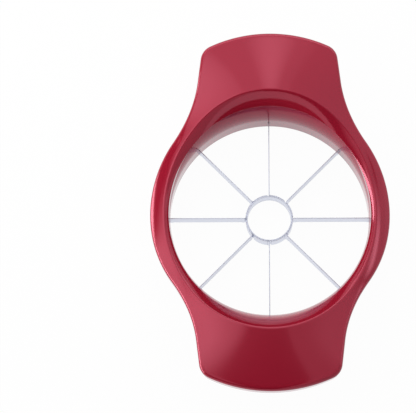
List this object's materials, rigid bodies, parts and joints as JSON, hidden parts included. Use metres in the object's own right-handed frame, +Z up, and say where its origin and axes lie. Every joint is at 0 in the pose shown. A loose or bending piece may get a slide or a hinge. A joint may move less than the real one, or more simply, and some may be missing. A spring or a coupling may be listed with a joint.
{
  "type": "fruit corer and wedger",
  "caption": "Rigid push-down fruit corer and wedger: a saddle-shaped two-handled body round a ring that holds radial blades and a core tube.",
  "frame": {"origin": "centre of the blade ring's foot, on the plane the product stands on", "axes": "+Y along the handles, +X across the narrow sides, +Z up, away from the cutting edges"},
  "size_m": [0.1194, 0.1778, 0.0404],
  "materials": {
    "red_gloss_body": "polished deep red moulding",
    "red_gloss_ring": "polished deep red moulding",
    "stainless_core": "satin stainless tube",
    "stainless_blade": "satin stainless strip, ground lower edge"
  },
  "bodies": {
    "root": {"body": "red_gloss_body", "blade_ring": "red_gloss_ring", "core_ring": "stainless_core", "blade_000": "stainless_blade", "blade_045": "stainless_blade", "blade_090": "stainless_blade", "blade_135": "stainless_blade", "blade_180": "stainless_blade", "blade_225": "stainless_blade", "blade_270": "stainless_blade", "blade_315": "stainless_blade"}
  },
  "joints": []
}
